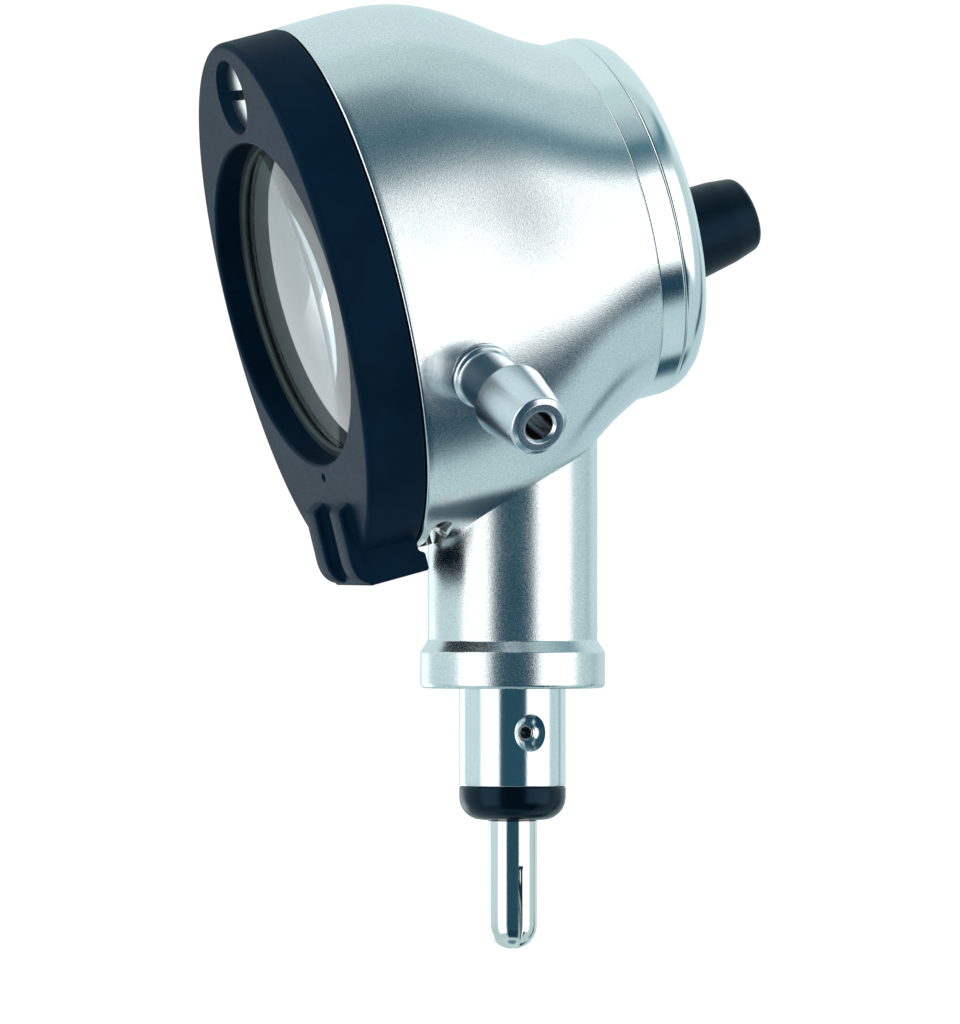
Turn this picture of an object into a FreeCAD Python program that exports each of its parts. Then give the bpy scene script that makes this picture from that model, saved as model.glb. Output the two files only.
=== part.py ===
import FreeCAD, Part

import Sketcher

import math
import os
import re

# Diagnostic otoscope head, millimetres.  The origin is the centre of the neck flange's lower
# face, +Z runs up the neck and +X towards the nose.  The head is tilted: its own frame starts
# at the middle of the lens opening, with local z along the viewing axis towards the nose,
# local x downwards and local y the same as +Y.

SIZES = {
    # head frame
    "head_tilt": 14.5, "head_x": -19.92, "head_z": 31.15,
    # neck, a tube that stands in the housing
    "neck_radius": 6.93, "neck_bore": 5.9, "neck_top": 21.5, "flange_radius": 7.55,
    "flange_height": 3.9, "flange_bevel": 0.95, "flange_edge": 0.4, "web_height": 4.2,
    # plug that goes into the handle
    "barrel_radius": 4.35, "barrel_seat": 4.8, "barrel_bore": 3.0, "barrel_bottom": -8.0,
    "barrel_top": 6.0,
    "dimple_radius": 1.53, "dimple_depth": 0.85, "pilot_radius": 0.65, "dimple_height": -3.6,
    "tip_bottom": -10.75, "tip_round": 1.85, "spigot_top": -6.0,
    "pin_radius": 2.0, "pin_bottom": -21.3, "pin_round": 1.96, "rod_radius": 1.6,
    "rod_top": 10.6, "slit_width": 0.4, "slit_top": -14.45,
    "washer_radius": 4.9, "washer_top": 7.0, "tag_radius": 3.1, "tag_top": 7.4,
    "tag_reach": 4.4, "tag_width": 2.0, "nut_top": 9.6, "nut_flats": 5.5,
    # housing: half-heights and half-widths of its oval sections along the viewing axis
    "rim_at": 5.2, "rim_height": 21.85, "rim_width": 14.3, "rim_edge": 0.25,
    "belly_at": 10.5, "belly_height": 21.95, "belly_width": 14.4,
    "waist_at": 15.0, "waist_height": 21.45, "waist_width": 14.55,
    "slope_at": 19.5, "slope_height": 19.5, "slope_width": 14.8,
    "brow_at": 24.0, "brow_height": 16.5, "brow_width": 14.95,
    "collar_at": 27.0, "collar_radius": 15.0, "wall": 1.2,
    # front ring and cap
    "ring_bore": 11.8, "ring_spigot": 13.5, "ring_spigot_at": 25.4, "cap_at": 29.2,
    "thread_radius": 13.0, "thread_end": 30.3, "cap_front": 31.85, "cap_wall": 0.9,
    "cap_edge": 2.4, "seam": 0.12, "gasket_bore": 12.0,
    # nose cone, on an axis of its own that rises a little more than the viewing axis
    "nose_drop": 3.48, "nose_rise": 6.0, "nose_root": 4.13, "nose_mid": 3.49,
    "nose_mid_at": 6.85, "nose_tip": 3.03, "nose_end": 9.2, "nose_tip_edge": 0.75,
    "nose_bore": 2.2, "nose_throat": 3.0, "nose_throat_at": 3.0, "nose_flange": 6.2,
    "nose_flange_front": -1.7, "nose_flange_back": -2.7, "nose_clearance": 0.04,
    # lens frame, the black moulding that carries the lens
    "frame_height": 21.8, "frame_width": 14.25, "frame_depth": 5.1, "frame_edge": 0.45,
    "opening_radius": 13.4, "lip_radius": 12.6, "lip_at": 3.9, "opening_edge": 0.3,
    "retainer_bore": 12.65, "retainer_at": 2.1, "retainer_end": 2.5, "retainer_edge": 0.2,
    "lens_radius": 13.3, "lens_at": 2.65, "lens_rim": 1.0, "seal_at": 3.78, "lens_sag": 1.07,
    "mark_at": 14.5, "mark_radius": 0.3, "mark_depth": 0.35,
    # thumb tab and hook below the lens frame
    "tab_half": 4.3, "tab_top": 18.0, "tab_bottom": 23.6, "tab_end": 5.5, "hook_inside": 22.1,
    "hook_at": 5.1, "tab_round": 2.0, "hook_round": 0.9, "rib_top": 16.1, "rib_proud": 0.95,
    "rib_width": 2.6, "rib_centre": 3.0, "rib_root": 0.5,
    # pivot of the lens frame
    "pivot_up": 17.3, "counterbore_radius": 3.12, "counterbore_depth": 2.6, "head_radius": 3.02,
    "head_at": 0.9, "head_depth": 1.4, "driver_slot": 0.85, "driver_depth": 0.75,
    "shoulder_radius": 1.9, "shoulder_end": 5.3, "running_gap": 0.05, "thread_shank": 1.5,
    "shank_end": 9.6, "spring_radius": 2.9, "spring_flat": 0.5, "spring_dish": 0.1,
    "spring_gap": 0.03, "insert_radius": 3.4, "insert_end": 10.2, "insert_foot": 8.0,
    # detent: a window in the housing's lower rim with a leaf spring behind it
    "window_at": 7.05, "window_half": 5.9, "window_width": 1.9, "window_cut": 3.0,
    "leaf_thick": 0.35, "leaf_from": 5.5, "leaf_to": 7.95, "leaf_half": 6.6,
    "leaf_radius": 8.4, "leaf_gap": 0.06, "bump_radius": 0.6, "bump_reach": 21.95,
    # insufflation port
    "port_at": 10.7, "port_down": 8.7, "port_side": 13.0, "port_dip": 23.0, "port_stem": 2.35,
    "port_root": 2.7, "port_root_flat": 0.3, "port_root_end": 0.75, "port_back": -2.6,
    "port_neck_end": 4.8, "barb_at": 5.6, "barb_radius": 3.15, "barb_edge": 0.12,
    "barb_tip": 2.45, "barb_tip_at": 11.1, "barb_end": 11.4, "barb_face": 2.15,
    "port_bore": 1.15, "port_mouth": 0.25,
    # lamp, its holder and its wiring
    "lamp_x": -0.26, "lamp_z": 23.6, "lamp_rise": 42.4, "plate_bottom": 19.9, "plate_top": 21.0,
    "clamp_radius": 4.0, "clamp_at": 0.6, "clamp_length": 4.0, "stay_half": 1.5,
    "stay_reach": 4.6, "stay_rise": 2.6, "stay_sink": 0.5, "socket_radius": 3.2,
    "socket_end": 6.0, "lamp_radius": 2.6, "lamp_back": 1.2, "lamp_shelf": 2.2,
    "lamp_flange": 3.0, "lamp_front": 6.8, "bulb_radius": 2.1, "bulb_end": 11.0,
    "bulb_round": 2.0, "glass_wall": 0.3, "glass_end": 9.8, "glass_round": 1.6,
    "bead_radius": 2.0, "bead_back": 0.7, "button_radius": 0.9, "button_back": -0.1,
    "button_round": 0.4, "filament_at": 9.2, "filament_radius": 0.05, "filament_half": 0.7,
    "strip_thick": 0.3, "strip_from": -1.6, "strip_to": 2.0, "strip_half": 1.2,
    "rest_from": 0.9, "rest_half": 1.5, "rest_depth": 1.1, "lead_radius": 0.45,
    "lead_x": -3.8, "lead_hole": 0.8, "lead_bottom": 7.5, "lead_turn": 1.0,
    "lead_level": 24.2, "lead_end": -1.95,
    # how far a cut runs past the material
    "cut_margin": 1.0, "nose_cut": 3.0,
}

doc = FreeCAD.newDocument("OtoscopeHead")
sheet = doc.addObject("Spreadsheet::Sheet", "Sizes")
for row, (alias, value) in enumerate(SIZES.items(), start=1):
    sheet.set(f"A{row}", alias)
    sheet.set(f"B{row}", str(value))
    sheet.setAlias(f"B{row}", alias)
doc.recompute()

Vector = FreeCAD.Vector
pieces = []


def bound(text):
    """Point every size name in an expression at its cell in the sheet."""
    return re.sub(r"[a-z]+(_[a-z]+)+|wall|seam", r"Sizes.\g<0>", str(text))


def size(text):
    """The present value of an expression, in millimetres or degrees."""
    return float(sheet.evalExpression(bound(text)))


# ---------------------------------------------------------------- placements

UPRIGHT = "placement(vector(0, 0, 0), rotation(vector(0, 0, 1), 0))"
QUARTER = "placement(vector(0, 0, 0), rotation(vector(0, 0, 1), -90))"
HEAD = bound("placement(vector(head_x, 0, head_z), rotation(vector(0, 1, 0), 90 - head_tilt))")
NOSE = HEAD + " * " + bound(
    "placement(vector(nose_drop, 0, cap_front), rotation(vector(0, 1, 0), -nose_rise))")
PIVOT = HEAD + " * " + bound("placement(vector(-pivot_up, 0, 0), rotation(vector(0, 0, 1), 0))")
PORT = HEAD + " * " + bound(
    "placement(vector(port_down, -port_side, port_at), rotation(vector(0, 0, 1), port_dip))"
    " * placement(vector(0, 0, 0), rotation(vector(1, 0, 0), 90))")
LAMP = bound("placement(vector(lamp_x, 0, lamp_z), rotation(vector(0, 1, 0), 90 - lamp_rise))")


def place(thing, frame):
    """Bind a feature's Placement to one of the frames above."""
    thing.setExpression("Placement", frame)
    return thing


def piece(thing, name):
    """Name a finished sub-part and remember it for export."""
    thing.Label = name
    pieces.append(thing)
    return thing


# ---------------------------------------------------------------- sketches

def new_body(name, frame):
    return place(doc.addObject("PartDesign::Body", name), frame)


def new_sketch(body, name, plane="XZ_Plane", lift="0"):
    """An empty sketch on one of the body's own origin planes, lifted along its normal."""
    sketch = body.newObject("Sketcher::SketchObject", name)
    role = [item for item in body.Origin.OriginFeatures if item.Role == plane][0]
    sketch.AttachmentSupport = [(role, "")]
    sketch.MapMode = "FlatFace"
    sketch.setExpression("AttachmentOffset.Base.z", bound(lift))
    return sketch


def pin_point(sketch, line, end, across, along):
    """Hold one end of a line at two bound distances from the sketch's origin."""
    for kind, axis, text in (("DistanceX", -2, across), ("DistanceY", -1, along)):
        if abs(size(text)) < 1e-9:
            sketch.addConstraint(Sketcher.Constraint("PointOnObject", line, end, axis))
            continue
        index = sketch.addConstraint(
            Sketcher.Constraint(kind, -1, 1, line, end, size(text)))
        sketch.setExpression(f"Constraints[{index}]", bound(text))


def outline(sketch, corners):
    """A closed polygon whose corners are pairs of expressions."""
    points = [Vector(size(across), size(along), 0) for across, along in corners]
    for start, end in zip(points, points[1:] + points[:1]):
        sketch.addGeometry(Part.LineSegment(start, end), False)
    count = len(points)
    for line in range(count):
        follower = (line + 1) % count
        sketch.addConstraint(Sketcher.Constraint("Coincident", line, 2, follower, 1))
    for line, (across, along) in enumerate(corners):
        pin_point(sketch, line, 1, across, along)
    return sketch


def circle(sketch, radius, across="0", along="0"):
    """A circle of bound radius and centre."""
    centre = Vector(size(across), size(along), 0)
    edge = sketch.addGeometry(Part.Circle(centre, Vector(0, 0, 1), size(radius)), False)
    index = sketch.addConstraint(Sketcher.Constraint("Radius", edge, size(radius)))
    sketch.setExpression(f"Constraints[{index}]", bound(radius))
    pin_point(sketch, edge, 3, across, along)
    return sketch


def oval(sketch, half_height, half_width):
    """An ellipse about the sketch's origin, its long axis along the sketch's x."""
    long_half = size(half_height)
    short_half = size(half_width)
    edge = sketch.addGeometry(Part.Ellipse(Vector(0, 0, 0), long_half, short_half), False)
    sketch.exposeInternalGeometry(edge)
    sketch.addConstraint(Sketcher.Constraint("Coincident", edge, 3, -1, 1))
    sketch.addConstraint(Sketcher.Constraint("Horizontal", edge + 1))
    for line, half in ((edge + 1, half_height), (edge + 2, half_width)):
        index = sketch.addConstraint(Sketcher.Constraint("Distance", line, 2 * size(half)))
        sketch.setExpression(f"Constraints[{index}]", bound(f"2 * ({half})"))
    return sketch


def outer_corner(sketch, across, along, radius):
    """What a quarter round of bound radius leaves of a lower right-hand corner."""
    corners = [
        (across, f"{along} + {radius}"), (f"{across} + cut_margin", f"{along} + {radius}"),
        (f"{across} + cut_margin", f"{along} - cut_margin"),
        (f"{across} - {radius}", f"{along} - cut_margin"), (f"{across} - {radius}", along)]
    points = [Vector(size(right), size(up), 0) for right, up in corners]
    for start, end in zip(points, points[1:]):
        sketch.addGeometry(Part.LineSegment(start, end), False)
    for line in range(3):
        sketch.addConstraint(Sketcher.Constraint("Coincident", line, 2, line + 1, 1))
    for line, (right, up) in enumerate(corners[:4]):
        pin_point(sketch, line, 1, right, up)
    pin_point(sketch, 3, 2, *corners[4])
    centre = Vector(points[4].x, points[0].y, 0)
    whole = Part.Circle(centre, Vector(0, 0, 1), size(radius))
    arc = sketch.addGeometry(Part.ArcOfCircle(whole, 1.5 * math.pi, 2 * math.pi), False)
    sketch.addConstraint(Sketcher.Constraint("Coincident", arc, 1, 3, 2))
    sketch.addConstraint(Sketcher.Constraint("Coincident", arc, 2, 0, 1))
    index = sketch.addConstraint(Sketcher.Constraint("Radius", arc, size(radius)))
    sketch.setExpression(f"Constraints[{index}]", bound(radius))
    return sketch


# ---------------------------------------------------------------- features

def pad(body, sketch, length, midplane=False, backwards=False):
    feature = body.newObject("PartDesign::Pad", sketch.Name + "Pad")
    feature.Profile = sketch
    feature.setExpression("Length", bound(length))
    feature.Midplane = midplane
    feature.Reversed = backwards
    return feature


def pocket(body, sketch, depth, midplane=False, backwards=True):
    """Cut a sketch to a depth; backwards cuts towards the sketch's own normal."""
    feature = body.newObject("PartDesign::Pocket", sketch.Name + "Pocket")
    feature.Profile = sketch
    feature.setExpression("Length", bound(depth))
    feature.Midplane = midplane
    feature.Reversed = backwards
    return feature


def turn(body, corners, name):
    """Revolve a profile of (radius, height) corners about the body's z axis."""
    sketch = outline(new_sketch(body, name + "Profile"), corners)
    feature = body.newObject("PartDesign::Revolution", name + "Turn")
    feature.Profile = sketch
    feature.ReferenceAxis = (sketch, ["V_Axis"])
    feature.Angle = 360
    return feature


def round_edges(body, base, radius, chosen, kind="Fillet"):
    """Fillet or chamfer the edges of a feature that a test picks."""
    doc.recompute()
    names = [f"Edge{number}" for number, edge in enumerate(base.Shape.Edges, start=1)
             if chosen(edge)]
    feature = body.newObject("PartDesign::" + kind, base.Name + kind)
    feature.Base = (base, names)
    feature.setExpression("Radius" if kind == "Fillet" else "Size", bound(radius))
    return feature


def ring_edge(radius, height):
    """A test for the full circle of a given radius at a given height on the z axis."""
    wanted = (size(radius), size(height))

    def chosen(edge):
        if not isinstance(edge.Curve, Part.Circle):
            return False
        on_axis = abs(edge.Curve.Center.x) < 1e-6 and abs(edge.Curve.Center.y) < 1e-6
        there = abs(edge.Curve.Center.z - wanted[1]) < 1e-6
        return on_axis and there and abs(edge.Curve.Radius - wanted[0]) < 1e-6

    return chosen


def turned(name, frame, corners):
    """A sub-part that is one revolved profile."""
    body = new_body(name, frame)
    turn(body, corners, name)
    return body


def boolean(kind, name, base, tool):
    feature = doc.addObject("Part::" + kind, name)
    feature.Base = base
    feature.Tool = tool
    return feature


def cylinder(name, radius, height, frame, start="0"):
    """A plain cylinder along a frame's z axis, from a given start."""
    feature = doc.addObject("Part::Cylinder", name)
    feature.setExpression("Radius", bound(radius))
    feature.setExpression("Height", bound(height))
    lift = bound(f"placement(vector(0, 0, {start}), rotation(vector(0, 0, 1), 0))")
    return place(feature, frame + " * " + lift)


def block(name, low, high, frame):
    """A box between two corners of a frame, each a triple of expressions."""
    feature = doc.addObject("Part::Box", name)
    for side, near, far in zip(("Length", "Width", "Height"), low, high):
        feature.setExpression(side, bound(f"({far}) - ({near})"))
    corner = bound(f"placement(vector({low[0]}, {low[1]}, {low[2]}),"
                   " rotation(vector(0, 0, 1), 0))")
    return place(feature, frame + " * " + corner)


# ---------------------------------------------------------------- neck and plug

def make_neck():
    body = turned("neck_sleeve", UPRIGHT, [
        ("barrel_seat", "0"), ("flange_radius", "0"),
        ("flange_radius", "flange_height - flange_bevel"), ("neck_radius", "flange_height"),
        ("neck_radius", "neck_top"), ("neck_bore", "neck_top"),
        ("neck_bore", "web_height"), ("barrel_seat", "web_height")])
    round_edges(body, body.Tip, "flange_edge", ring_edge("flange_radius", "0"))
    piece(body, "neck_sleeve")


def make_barrel():
    """The plug, pressed into the neck from above, with a conical dimple for a set screw."""
    body = turned("plug_barrel", QUARTER, [
        ("barrel_bore", "barrel_bottom"), ("barrel_radius", "barrel_bottom"),
        ("barrel_radius", "0"), ("barrel_seat", "0"), ("barrel_seat", "web_height"),
        ("neck_bore", "web_height"), ("neck_bore", "barrel_top"), ("barrel_bore", "barrel_top")])
    sketch = new_sketch(body, "DimpleProfile")
    sketch.setExpression("AttachmentOffset.Base.y", bound("dimple_height"))
    outline(sketch, [
        ("barrel_radius + dimple_depth", "0"),
        ("barrel_radius + dimple_depth", "2 * dimple_radius - pilot_radius"),
        ("barrel_radius - dimple_depth", "pilot_radius"),
        ("barrel_bore - dimple_depth", "pilot_radius"),
        ("barrel_bore - dimple_depth", "0")])
    groove = body.newObject("PartDesign::Groove", "Dimple")
    groove.Profile = sketch
    groove.ReferenceAxis = (sketch, ["H_Axis"])
    groove.Angle = 360
    piece(body, "plug_barrel")


def make_insulators():
    tip = turned("insulator_tip", UPRIGHT, [
        ("rod_radius", "tip_bottom"), ("barrel_radius", "tip_bottom"),
        ("barrel_radius", "barrel_bottom"), ("barrel_bore", "barrel_bottom"),
        ("barrel_bore", "spigot_top"), ("rod_radius", "spigot_top")])
    round_edges(tip, tip.Tip, "tip_round", ring_edge("barrel_radius", "tip_bottom"))
    piece(tip, "insulator_tip")
    piece(turned("insulator_sleeve", UPRIGHT, [
        ("rod_radius", "spigot_top"), ("barrel_bore", "spigot_top"),
        ("barrel_bore", "barrel_top"), ("rod_radius", "barrel_top")]), "insulator_sleeve")
    piece(turned("insulator_washer", UPRIGHT, [
        ("rod_radius", "barrel_top"), ("washer_radius", "barrel_top"),
        ("washer_radius", "washer_top"), ("rod_radius", "washer_top")]), "insulator_washer")


def make_contact_pin():
    body = turned("contact_pin", UPRIGHT, [
        ("0", "pin_bottom"), ("pin_radius", "pin_bottom"), ("pin_radius", "tip_bottom"),
        ("rod_radius", "tip_bottom"), ("rod_radius", "rod_top"), ("0", "rod_top")])
    round_edges(body, body.Tip, "pin_round", ring_edge("pin_radius", "pin_bottom"))
    slit = outline(new_sketch(body, "SlitProfile"), [
        ("-slit_width / 2", "pin_bottom - cut_margin"),
        ("slit_width / 2", "pin_bottom - cut_margin"),
        ("slit_width / 2", "slit_top"), ("-slit_width / 2", "slit_top")])
    pocket(body, slit, "2 * pin_radius + 2 * cut_margin", midplane=True)
    piece(body, "contact_pin")


def make_pin_fixing():
    """The solder tag and hexagonal nut on the pin's threaded rod."""
    body = new_body("solder_tag", UPRIGHT)
    pad(body, circle(new_sketch(body, "TagRing", "XY_Plane", "washer_top"), "tag_radius"),
        "tag_top - washer_top")
    ear = outline(new_sketch(body, "TagEar", "XY_Plane", "washer_top"), [
        ("-tag_reach", "-tag_width / 2"), ("0", "-tag_width / 2"),
        ("0", "tag_width / 2"), ("-tag_reach", "tag_width / 2")])
    pad(body, ear, "tag_top - washer_top")
    hole = circle(new_sketch(body, "TagHole", "XY_Plane", "washer_top"), "rod_radius")
    pocket(body, hole, "tag_top - washer_top")
    piece(body, "solder_tag")
    blank = doc.addObject("Part::Prism", "NutBlank")
    blank.Polygon = 6
    blank.setExpression("Circumradius", bound("nut_flats / 2 / cos(30)"))
    blank.setExpression("Height", bound("nut_top - tag_top"))
    place(blank, bound("placement(vector(0, 0, tag_top), rotation(vector(0, 0, 1), 0))"))
    bore = cylinder("NutBore", "rod_radius", "nut_top", UPRIGHT)
    piece(boolean("Cut", "PinNut", blank, bore), "pin_nut")


# ---------------------------------------------------------------- housing

SECTIONS = ("rim", "belly", "waist", "slope", "brow")


def oval_section(body, name, at, section, inset):
    sketch = new_sketch(body, name, "XY_Plane", at)
    return oval(sketch, f"{section}_height - {inset}", f"{section}_width - {inset}")


def loft(body, name, sketches):
    feature = body.newObject("PartDesign::AdditiveLoft", name)
    feature.Profile = sketches[0]
    feature.Sections = sketches[1:]
    return feature


def oval_loft(name, inset, start):
    """The housing's tapering oval form, made smaller all round by an inset."""
    body = new_body(name, HEAD)
    places = [start] + [f"{section}_at" for section in SECTIONS[1:]]
    sketches = [oval_section(body, f"{name}_{section}", at, section, inset)
                for section, at in zip(SECTIONS, places)]
    end = new_sketch(body, f"{name}_collar", "XY_Plane", "collar_at")
    sketches.append(circle(end, f"collar_radius - {inset}"))
    loft(body, name + "Loft", sketches)
    return body


def make_housing(port):
    """The metal shell; its hollow is returned, because the pivot insert fits into it."""
    shell = oval_loft("HousingForm", "0", "rim_at + rim_edge")
    bevel = [oval_section(shell, "RimFront", "rim_at", "rim", "rim_edge"),
             oval_section(shell, "RimBack", "rim_at + rim_edge", "rim", "0")]
    loft(shell, "RimBevel", bevel)
    hollow = oval_loft("HousingHollow", "wall", "rim_at")
    tools = doc.addObject("Part::MultiFuse", "HousingTools")
    tools.Shapes = [
        hollow, port,
        cylinder("NeckHole", "neck_radius", "neck_top", UPRIGHT),
        cylinder("PortHole", "port_stem", "port_root_end - port_back", PORT, "port_back"),
        make_window()]
    piece(boolean("Cut", "Housing", shell, tools), "housing")
    return hollow


def make_window():
    """The long hole with round ends that is cut through the lower rim."""
    body = new_body("Window", HEAD)
    start = "rim_height - window_cut"
    sketch = new_sketch(body, "WindowOutline", "YZ_Plane", start)
    middle = outline(sketch, [
        ("-window_half + window_width / 2", "window_at - window_width / 2"),
        ("window_half - window_width / 2", "window_at - window_width / 2"),
        ("window_half - window_width / 2", "window_at + window_width / 2"),
        ("-window_half + window_width / 2", "window_at + window_width / 2")])
    pad(body, middle, "2 * window_cut")
    for side, sign in (("Left", "-1"), ("Right", "1")):
        end = new_sketch(body, "WindowEnd" + side, "YZ_Plane", start)
        circle(end, "window_width / 2", f"{sign} * (window_half - window_width / 2)", "window_at")
        pad(body, end, "2 * window_cut")
    return body


def make_detent():
    """A curved leaf spring inside the lower wall, its bump standing in the window."""
    crown = "(rim_height - wall - leaf_gap)"
    axis = HEAD + " * " + bound(
        f"placement(vector({crown} - leaf_radius, 0, leaf_from), rotation(vector(0, 0, 1), 0))")
    outer = cylinder("LeafOuter", "leaf_radius", "leaf_to - leaf_from", axis)
    inner = cylinder("LeafInner", "leaf_radius - leaf_thick", "leaf_to - leaf_from", axis)
    tube = boolean("Cut", "LeafTube", outer, inner)
    strip = block("LeafStrip", (f"{crown} - leaf_radius / 2", "-leaf_half", "leaf_from"),
                  (f"{crown} + cut_margin", "leaf_half", "leaf_to"), HEAD)
    leaf = boolean("Common", "Leaf", tube, strip)
    stand = HEAD + " * " + bound(
        f"placement(vector({crown} - leaf_thick, 0, window_at), rotation(vector(0, 1, 0), 90))")
    bump = cylinder("LeafBump", "bump_radius", f"bump_reach - {crown} + leaf_thick", stand)
    piece(boolean("Fuse", "DetentSpring", leaf, bump), "detent_spring")


# ---------------------------------------------------------------- front of the head

def make_front():
    ring = turned("front_ring", HEAD, [
        ("ring_bore", "ring_spigot_at"), ("ring_spigot", "ring_spigot_at"),
        ("ring_spigot", "collar_at"), ("collar_radius - seam", "collar_at"),
        ("collar_radius", "collar_at + seam"), ("collar_radius", "cap_at - seam"),
        ("collar_radius - seam", "cap_at"), ("thread_radius", "cap_at"),
        ("thread_radius", "thread_end"), ("ring_bore", "thread_end")])
    piece(ring, "front_ring")
    piece(turned("cap_gasket", HEAD, [
        ("gasket_bore", "thread_end"), ("thread_radius", "thread_end"),
        ("thread_radius", "cap_front - cap_wall"), ("gasket_bore", "cap_front - cap_wall")]),
        "cap_gasket")
    cap = turned("CapBlank", HEAD, [
        ("0", "cap_front - cap_wall"), ("thread_radius", "cap_front - cap_wall"),
        ("thread_radius", "cap_at"), ("collar_radius - seam", "cap_at"),
        ("collar_radius", "cap_at + seam"), ("collar_radius", "cap_front"),
        ("0", "cap_front")])
    round_edges(cap, cap.Tip, "cap_edge", ring_edge("collar_radius", "cap_front"))
    hole = cylinder("NoseHole", "nose_root + nose_clearance", "2 * nose_cut", NOSE, "-nose_cut")
    piece(boolean("Cut", "FrontCap", cap, hole), "front_cap")


def make_nose():
    body = turned("nose_cone", NOSE, [
        ("nose_throat", "nose_flange_back"), ("nose_flange", "nose_flange_back"),
        ("nose_flange", "nose_flange_front"), ("nose_root", "nose_flange_front"),
        ("nose_root", "0"), ("nose_mid", "nose_mid_at"), ("nose_tip", "nose_end"),
        ("nose_bore", "nose_end"), ("nose_bore", "nose_throat_at")])
    round_edges(body, body.Tip, "nose_tip_edge", ring_edge("nose_tip", "nose_end"))
    piece(body, "nose_cone")


def make_port():
    body = turned("insufflation_port", PORT, [
        ("port_bore", "port_back"), ("port_stem", "port_back"), ("port_stem", "0"),
        ("port_root", "0"), ("port_root", "port_root_flat"),
        ("port_stem", "port_root_end"), ("port_stem", "port_neck_end"),
        ("barb_radius - barb_edge", "barb_at - barb_edge"),
        ("barb_radius", "barb_at + barb_edge"),
        ("barb_tip", "barb_tip_at"), ("barb_face", "barb_end"),
        ("port_bore + port_mouth", "barb_end"), ("port_bore", "barb_end - port_mouth")])
    piece(body, "insufflation_port")
    return body


# ---------------------------------------------------------------- lens and its frame

def lower_edge(down, along):
    """A test for straight edges that run sideways at one place of the side view."""
    wanted = (size(down), size(along))

    def chosen(edge):
        middle = edge.CenterOfMass
        sideways = abs(edge.BoundBox.XLength) < 1e-6 and abs(edge.BoundBox.ZLength) < 1e-6
        there = abs(middle.x - wanted[0]) < 1e-6 and abs(middle.z - wanted[1]) < 1e-6
        return sideways and there

    return chosen


def make_lens_frame():
    body = new_body("lens_frame", HEAD)
    plate = pad(body, oval(new_sketch(body, "FrameOutline", "XY_Plane"), "frame_height",
                           "frame_width"), "frame_depth")
    round_edges(body, plate, "frame_edge", lambda edge: abs(edge.CenterOfMass.z) < 1e-4)
    side = outline(new_sketch(body, "TabSide"), [
        ("tab_top", "0"), ("tab_bottom", "0"), ("tab_bottom", "tab_end"),
        ("hook_inside", "tab_end"), ("hook_inside", "hook_at"), ("tab_top", "hook_at")])
    pad(body, side, "2 * tab_half", midplane=True)
    for name, sign in (("Left", "1"), ("Right", "-1")):
        rib = outline(new_sketch(body, "Rib" + name, "XZ_Plane", f"-({sign}) * rib_centre"), [
            ("rib_top", "0"), ("rib_top + rib_proud", "-rib_proud"),
            ("tab_bottom", "-rib_proud"), ("tab_bottom", "rib_root")])
        ridge = pad(body, rib, "rib_width", midplane=True)
    round_edges(body, ridge, "hook_round", lower_edge("tab_bottom", "tab_end"))
    corner = outer_corner(new_sketch(body, "TabCorner"), "tab_bottom", "-rib_proud", "tab_round")
    pocket(body, corner, "2 * tab_half + 2 * cut_margin", midplane=True)
    opening = circle(new_sketch(body, "Opening", "XY_Plane"), "opening_radius")
    pocket(body, opening, "lip_at")
    sight = circle(new_sketch(body, "Sight", "XY_Plane"), "lip_radius")
    pocket(body, sight, "frame_depth")
    recess = circle(new_sketch(body, "Counterbore", "XY_Plane"), "counterbore_radius",
                    "-pivot_up", "0")
    pocket(body, recess, "counterbore_depth")
    bore = circle(new_sketch(body, "PivotBore", "XY_Plane"), "shoulder_radius + running_gap",
                  "-pivot_up", "0")
    pocket(body, bore, "frame_depth")
    mark = circle(new_sketch(body, "GateMark", "XY_Plane"), "mark_radius", "mark_at", "0")
    marked = pocket(body, mark, "mark_depth")
    round_edges(body, marked, "opening_edge", ring_edge("opening_radius", "0"), "Chamfer")
    piece(body, "lens_frame")


def make_retainer():
    body = turned("lens_retainer", HEAD, [
        ("retainer_bore + retainer_edge", "retainer_at"), ("opening_radius", "retainer_at"),
        ("opening_radius", "retainer_end"), ("retainer_bore", "retainer_end"),
        ("retainer_bore", "retainer_at + retainer_edge")])
    piece(body, "lens_retainer")


def make_lens():
    """A lens with two convex faces: what two balls and a cylinder share."""
    ball_radius = "((lens_radius^2 + lens_sag^2) / (2 * lens_sag))"
    rear = "(lens_at + lens_rim + lens_sag)"
    balls = []
    for name, middle in (("LensEyeBall", f"lens_at - lens_sag + {ball_radius}"),
                         ("LensNoseBall", f"{rear} - {ball_radius}")):
        ball = doc.addObject("Part::Sphere", name)
        ball.setExpression("Radius", bound(ball_radius))
        lift = bound(f"placement(vector(0, 0, {middle}), rotation(vector(0, 0, 1), 0))")
        balls.append(place(ball, HEAD + " * " + lift))
    rim = cylinder("LensRim", "lens_radius", "frame_depth", HEAD)
    lens = doc.addObject("Part::MultiCommon", "Lens")
    lens.Shapes = balls + [rim]
    piece(lens, "magnifier_lens")
    piece(turned("lens_seal", HEAD, [
        ("lip_radius", "seal_at"), ("opening_radius", "seal_at"),
        ("opening_radius", "lip_at"), ("lip_radius", "lip_at")]), "lens_seal")


# ---------------------------------------------------------------- pivot

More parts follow.
